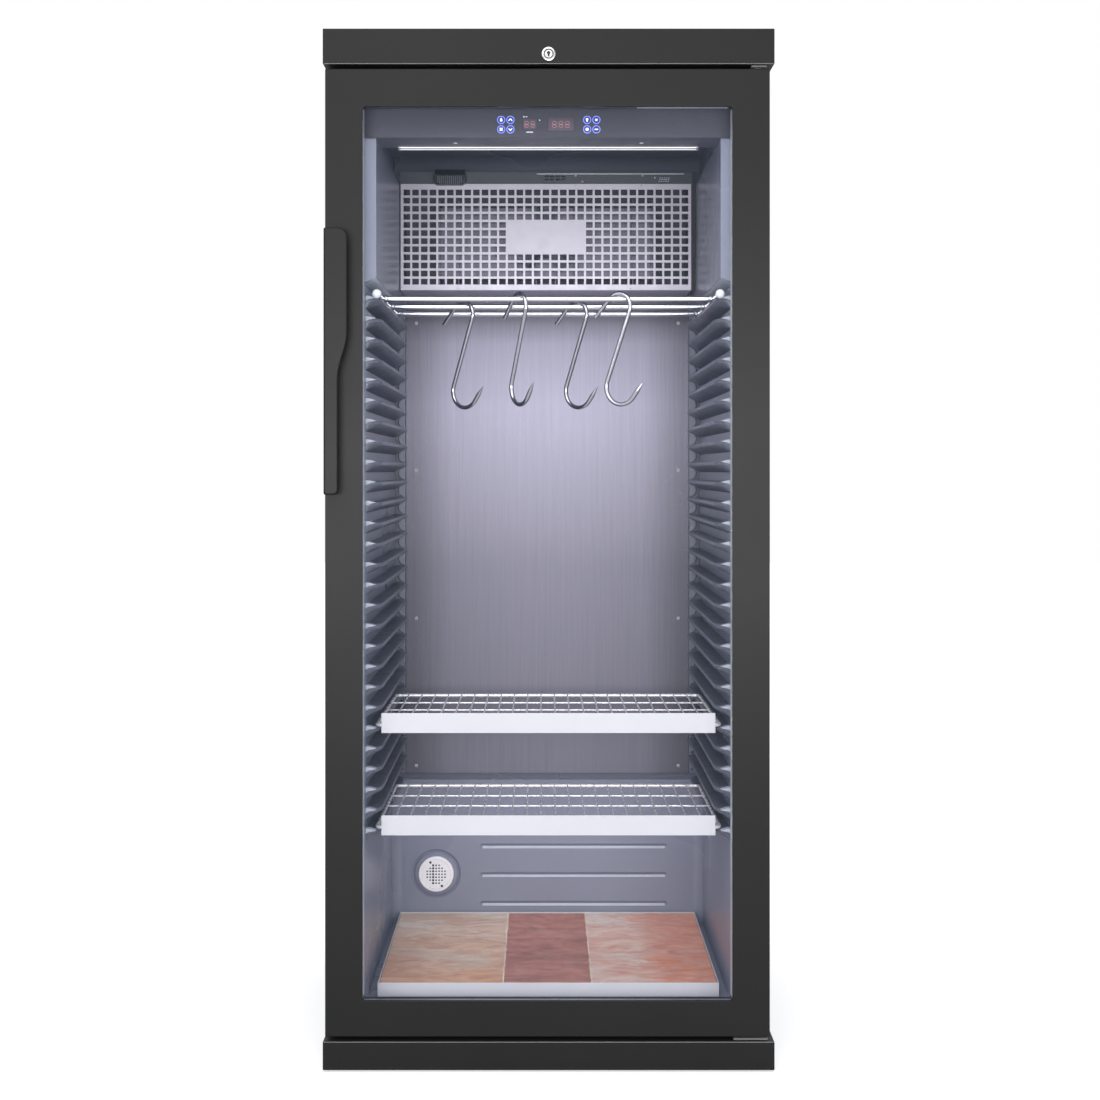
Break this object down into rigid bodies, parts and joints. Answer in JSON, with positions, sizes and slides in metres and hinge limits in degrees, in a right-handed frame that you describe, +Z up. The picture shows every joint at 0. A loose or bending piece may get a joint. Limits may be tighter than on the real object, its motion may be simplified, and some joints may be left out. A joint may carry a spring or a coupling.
{
  "type": "dry aging cabinet",
  "caption": "Tall refrigerated cabinet with a glass door, a hanging rack with swinging hooks, wire shelves, a salt tray and fan cooling under a perforated cover.",
  "frame": {"origin": "on the floor under the middle of the bounding box", "axes": "+X to the right seen from the front, the front faces -Y, +Z up"},
  "size_m": [0.777, 0.766, 1.794],
  "materials": {
    "charcoal_paint": "satin powder coat",
    "door_paint": "satin powder coat over a foamed core",
    "grey_steel": "satin",
    "foam": "cut foam",
    "liner_plastic": "slate, soft sheen",
    "chrome": "polished",
    "stainless": "vertical brushing",
    "glass": "clear",
    "fascia_plastic": "satin",
    "display_plastic": "dark glossy",
    "light_diffuser": "lit diffuser",
    "white_plastic": "white",
    "black_rubber": "matte",
    "black_plastic": "satin",
    "black_metal": "satin",
    "cover_paint": "satin",
    "aluminium": "mill",
    "salt": "rough, salmon with orange veins",
    "rose_salt": "rough, rose brown",
    "sand_salt": "rough, sandy grey pink"
  },
  "bodies": {
    "cabinet": {"top_cap": "charcoal_paint", "base_plinth": "charcoal_paint", "side_panel_left": "charcoal_paint", "side_panel_right": "charcoal_paint", "rear_panel": "grey_steel", "machine_cover": "grey_steel", "evaporator_fan_motor": "grey_steel", "condenser_fan_motor": "grey_steel", "insulation": "foam", "inner_liner": "liner_plastic", "upper_hinge_bracket": "stainless", "lower_hinge_bracket": "stainless", "back_panel": "stainless", "evaporator_coil": "aluminium", "condenser": "aluminium", "control_fascia": "fascia_plastic", "control_module": "display_plastic", "light_bar": "light_diffuser", "lock_housing": "chrome", "evaporator_housing": "cover_paint", "fan_cover": "cover_paint", "humidity_sensor_cover": "black_plastic", "drip_pan": "black_plastic", "compressor": "black_metal"},
    "door": {"door_frame": "door_paint", "door_inner_frame": "fascia_plastic", "outer_pane": "glass", "inner_pane": "glass", "glass_spacer": "aluminium", "door_gasket": "black_rubber", "door_handle": "door_paint", "strike_plate": "stainless"},
    "lock": {"lock_plug": "chrome", "lock_cam": "stainless"},
    "evaporator_fan": {"evaporator_fan": "black_plastic"},
    "condenser_fan": {"condenser_fan": "black_plastic"},
    "filter_cap": {"filter_cap": "white_plastic"},
    "rack": {"rack_rod_left": "chrome", "rack_rod_right": "chrome", "rack_bar_front": "chrome", "rack_bar_middle": "chrome", "rack_bar_rear": "chrome"},
    "upper_shelf": {"upper_shelf_grid": "chrome", "upper_shelf_strip": "white_plastic"},
    "lower_shelf": {"lower_shelf_grid": "chrome", "lower_shelf_strip": "white_plastic"},
    "salt_tray": {"salt_tray": "white_plastic"},
    "salt_block_left": {"salt_block_left": "sand_salt"},
    "salt_block_middle": {"salt_block_middle": "rose_salt"},
    "salt_block_right": {"salt_block_right": "salt"},
    "levelling_foot_1": {"levelling_foot_1": "black_rubber"},
    "hook_1": {"hook_1": "chrome"},
    "levelling_foot_2": {"levelling_foot_2": "black_rubber"},
    "hook_2": {"hook_2": "chrome"},
    "levelling_foot_3": {"levelling_foot_3": "black_rubber"},
    "hook_3": {"hook_3": "chrome"},
    "levelling_foot_4": {"levelling_foot_4": "black_rubber"},
    "hook_4": {"hook_4": "chrome"}
  },
  "joints": [
    {"name": "door_swing", "type": "hinge", "parent": "cabinet", "child": "door", "pos_m": [0.363, -0.333, 0.9], "axis": [0, 0, 1], "range_deg": [0, 105]},
    {"name": "lock_turn", "type": "hinge", "parent": "cabinet", "child": "lock", "pos_m": [0, -0.345, 1.75], "axis": [0, -1, 0], "range_deg": [0, 90]},
    {"name": "evaporator_fan_spin", "type": "hinge", "parent": "cabinet", "child": "evaporator_fan", "pos_m": [-0.0034, 0.17, 1.5125], "axis": [0, 1, 0], "continuous": true},
    {"name": "condenser_fan_spin", "type": "hinge", "parent": "cabinet", "child": "condenser_fan", "pos_m": [0.15, 0.317, 0.146], "axis": [0, 1, 0], "continuous": true},
    {"name": "filter_turn", "type": "hinge", "parent": "cabinet", "child": "filter_cap", "pos_m": [-0.233, 0.223, 0.189], "axis": [0, 1, 0], "range_deg": [0, 90]},
    {"name": "rack_slide", "type": "slide", "parent": "cabinet", "child": "rack", "axis": [0, -1, 0], "range_m": [0, 0.02]},
    {"name": "upper_shelf_slide", "type": "slide", "parent": "cabinet", "child": "upper_shelf", "axis": [0, -1, 0], "range_m": [0, 0.02]},
    {"name": "lower_shelf_slide", "type": "slide", "parent": "cabinet", "child": "lower_shelf", "axis": [0, -1, 0], "range_m": [0, 0.02]},
    {"name": "salt_tray_slide", "type": "slide", "parent": "cabinet", "child": "salt_tray", "axis": [0, -1, 0], "range_m": [0, 0.055]},
    {"name": "salt_block_left_lift", "type": "slide", "parent": "salt_tray", "child": "salt_block_left", "axis": [0, 0, 1], "range_m": [0, 0.1]},
    {"name": "salt_block_middle_lift", "type": "slide", "parent": "salt_tray", "child": "salt_block_middle", "axis": [0, 0, 1], "range_m": [0, 0.1]},
    {"name": "salt_block_right_lift", "type": "slide", "parent": "salt_tray", "child": "salt_block_right", "axis": [0, 0, 1], "range_m": [0, 0.1]},
    {"name": "foot_1_screw", "type": "slide", "parent": "cabinet", "child": "levelling_foot_1", "axis": [0, 0, -1], "range_m": [0, 0.012]},
    {"name": "foot_2_screw", "type": "slide", "parent": "cabinet", "child": "levelling_foot_2", "axis": [0, 0, -1], "range_m": [0, 0.012]},
    {"name": "foot_3_screw", "type": "slide", "parent": "cabinet", "child": "levelling_foot_3", "axis": [0, 0, -1], "range_m": [0, 0.012]},
    {"name": "foot_4_screw", "type": "slide", "parent": "cabinet", "child": "levelling_foot_4", "axis": [0, 0, -1], "range_m": [0, 0.012]},
    {"name": "hook_1_swing", "type": "hinge", "parent": "rack", "child": "hook_1", "pos_m": [-0.1623, -0.059, 1.347], "axis": [1, 0, 0], "range_deg": [-20, 20]},
    {"name": "hook_2_swing", "type": "hinge", "parent": "rack", "child": "hook_2", "pos_m": [-0.0538, -0.195, 1.347], "axis": [1, 0, 0], "range_deg": [-20, 20]},
    {"name": "hook_3_swing", "type": "hinge", "parent": "rack", "child": "hook_3", "pos_m": [0.0546, -0.059, 1.347], "axis": [1, 0, 0], "range_deg": [-20, 20]},
    {"name": "hook_4_swing", "type": "hinge", "parent": "rack", "child": "hook_4", "pos_m": [0.1283, -0.195, 1.347], "axis": [1, 0, 0], "range_deg": [-20, 20]}
  ]
}
